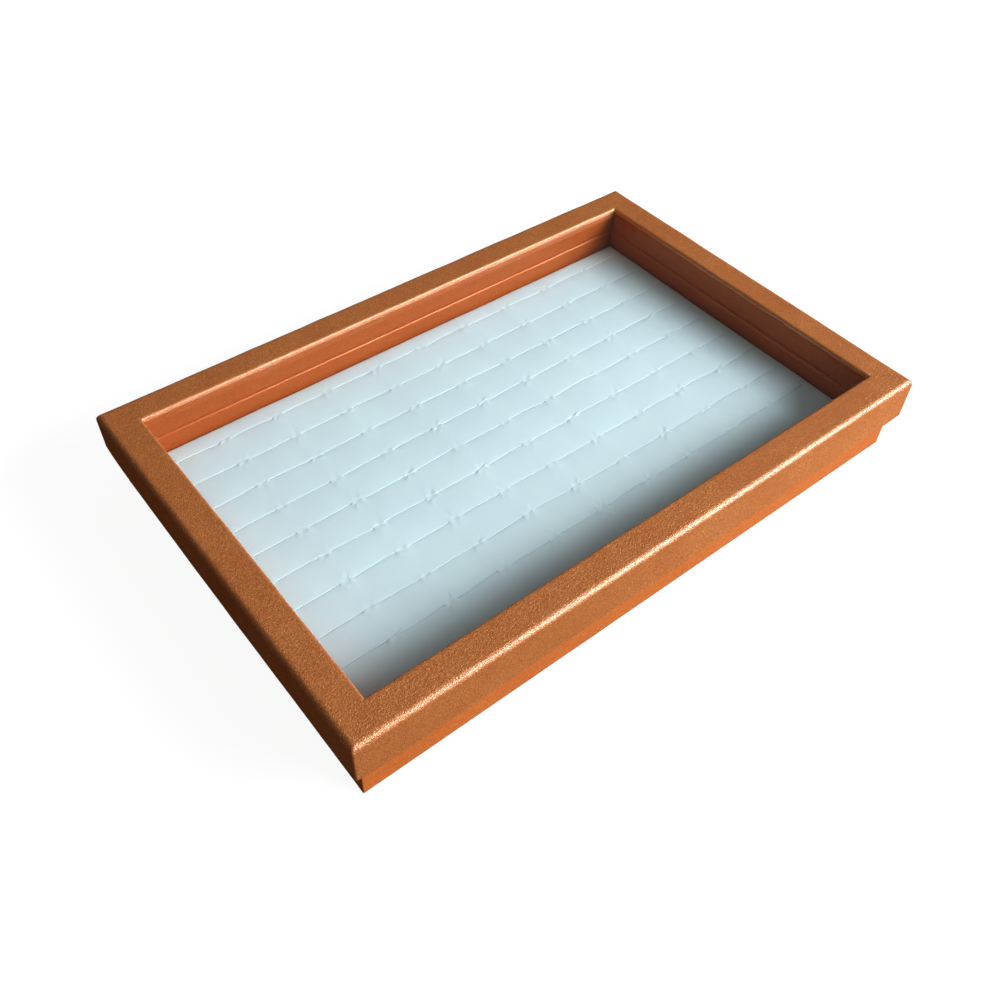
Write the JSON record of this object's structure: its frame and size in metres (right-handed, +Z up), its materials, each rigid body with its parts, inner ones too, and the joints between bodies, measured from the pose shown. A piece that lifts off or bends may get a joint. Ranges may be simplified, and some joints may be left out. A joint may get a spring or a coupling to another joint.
{
  "type": "ring display box",
  "caption": "Flat leatherette-covered display box with a slotted velvet ring pad in its tray and a glazed frame lid that lifts straight off.",
  "frame": {"origin": "on the surface the box stands on, under the middle of the box", "axes": "+X along the box's length, +Y from its front to its back, +Z up, the way the lid lifts"},
  "size_m": [0.35, 0.23, 0.047],
  "materials": {
    "board": "bare fibreboard",
    "lid_leatherette": "copper-bronze metallic leatherette, fine pebble grain",
    "tray_leatherette": "copper-bronze metallic leatherette, fine pebble grain",
    "lining_leatherette": "copper metallic leatherette, smoother lining",
    "glass": "clear float glass",
    "velvet": "white short-pile velvet",
    "foam": "open-cell foam",
    "flocked_sheet": "black flocked paper",
    "grey_card": "grey board",
    "steel": "bright steel"
  },
  "bodies": {
    "tray": {"tray_wall_front": "board", "tray_wall_right": "board", "tray_wall_back": "board", "tray_wall_left": "board", "tray_liner_front": "lining_leatherette", "tray_liner_right": "lining_leatherette", "tray_liner_back": "lining_leatherette", "tray_liner_left": "lining_leatherette", "tray_floor": "board", "tray_corner_nails": "steel", "tray_floor_pins": "steel", "tray_cover": "tray_leatherette", "tray_underlay": "flocked_sheet", "pad_card": "grey_card", "pad_foam": "foam", "pad_velvet": "velvet"},
    "lid": {"lid_rail_front": "board", "lid_rail_right": "board", "lid_rail_back": "board", "lid_rail_left": "board", "lid_skirt_front": "board", "lid_skirt_right": "board", "lid_skirt_back": "board", "lid_skirt_left": "board", "lid_liner_front": "lining_leatherette", "lid_liner_right": "lining_leatherette", "lid_liner_back": "lining_leatherette", "lid_liner_left": "lining_leatherette", "lid_corner_nails": "steel", "lid_glass": "glass", "lid_cover": "lid_leatherette"}
  },
  "joints": [
    {"name": "lid_lift", "type": "slide", "parent": "tray", "child": "lid", "axis": [0, 0, 1], "range_m": [0, 0.06]}
  ]
}
